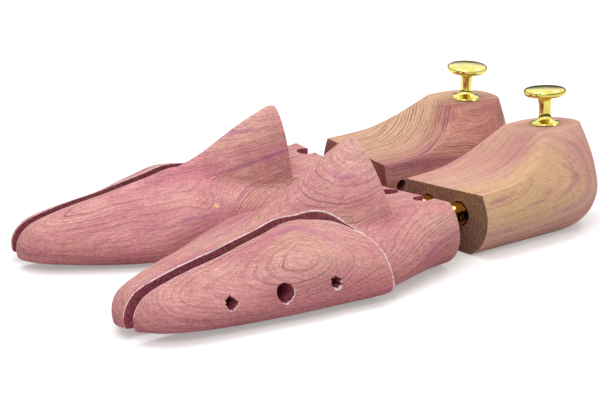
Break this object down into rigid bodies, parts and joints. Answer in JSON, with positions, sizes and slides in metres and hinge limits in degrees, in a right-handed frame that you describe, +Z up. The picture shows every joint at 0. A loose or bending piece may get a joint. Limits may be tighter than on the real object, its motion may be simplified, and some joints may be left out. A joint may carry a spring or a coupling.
{
  "type": "shoe trees",
  "caption": "Cedar shoe trees for a left and a right shoe, each with a sprung side wing at the toe, sprung brass tubes to the heel block and a brass pull knob.",
  "frame": {"origin": "middle of the bounding box's underside, on the surface that the pair stands on", "axes": "+Z up, +X from the toes to the heels, +Y from the left tree to the right tree"},
  "size_m": [0.2846, 0.1772, 0.0682],
  "materials": {
    "cedar": "unfinished pink-red aromatic cedar, sanded",
    "cedar_light": "unfinished cedar with yellow sapwood, sanded",
    "brass": "polished brass",
    "brass_tube": "bright brass-plated tube",
    "steel": "plain steel",
    "spring_steel": "plain spring steel"
  },
  "bodies": {
    "left_toe": {"left_toe_block": "cedar", "left_tube_lateral": "brass_tube", "left_tube_medial": "brass_tube", "left_tube_screw_lateral": "steel", "left_tube_screw_medial": "steel", "left_wing_screw_front": "steel", "left_wing_screw_rear": "steel", "left_wing_spring_front": "spring_steel", "left_wing_spring_rear": "spring_steel"},
    "left_wing": {"left_toe_wing": "cedar"},
    "left_heel": {"left_heel_block": "cedar_light", "left_heel_cross_pin": "steel", "left_heel_spring_lateral": "spring_steel", "left_heel_spring_medial": "spring_steel", "left_heel_knob": "brass", "left_knob_stud": "steel"},
    "right_toe": {"right_toe_block": "cedar", "right_tube_lateral": "brass_tube", "right_tube_medial": "brass_tube", "right_tube_screw_lateral": "steel", "right_tube_screw_medial": "steel", "right_wing_screw_front": "steel", "right_wing_screw_rear": "steel", "right_wing_spring_front": "spring_steel", "right_wing_spring_rear": "spring_steel"},
    "right_wing": {"right_toe_wing": "cedar"},
    "right_heel": {"right_heel_block": "cedar_light", "right_heel_cross_pin": "steel", "right_heel_spring_lateral": "spring_steel", "right_heel_spring_medial": "spring_steel", "right_heel_knob": "brass", "right_knob_stud": "steel"}
  },
  "joints": [
    {"name": "left_wing_squeeze", "type": "slide", "parent": "left_toe", "child": "left_wing", "axis": [-0.0575, 0.9968, -0.0558], "range_m": [0, 0.0056], "stiffness_N_per_m": 600, "springref_m": -0.004, "deforming": ["left_wing_spring_front", "left_wing_spring_rear"]},
    {"name": "left_heel_squeeze", "type": "slide", "parent": "left_toe", "child": "left_heel", "axis": [-0.9983, -0.0576, 0], "range_m": [0, 0.016], "stiffness_N_per_m": 700, "springref_m": -0.008, "deforming": ["left_heel_spring_lateral", "left_heel_spring_medial"]},
    {"name": "right_tree_lift", "type": "slide", "parent": "left_toe", "child": "right_toe", "axis": [0, 0, 1], "range_m": [0, 0.09]},
    {"name": "right_wing_squeeze", "type": "slide", "parent": "right_toe", "child": "right_wing", "axis": [-0.0575, -0.9968, -0.0558], "range_m": [0, 0.0056], "stiffness_N_per_m": 600, "springref_m": -0.004, "deforming": ["right_wing_spring_front", "right_wing_spring_rear"]},
    {"name": "right_heel_squeeze", "type": "slide", "parent": "right_toe", "child": "right_heel", "axis": [-0.9983, 0.0576, 0], "range_m": [0, 0.016], "stiffness_N_per_m": 700, "springref_m": -0.008, "deforming": ["right_heel_spring_lateral", "right_heel_spring_medial"]}
  ]
}
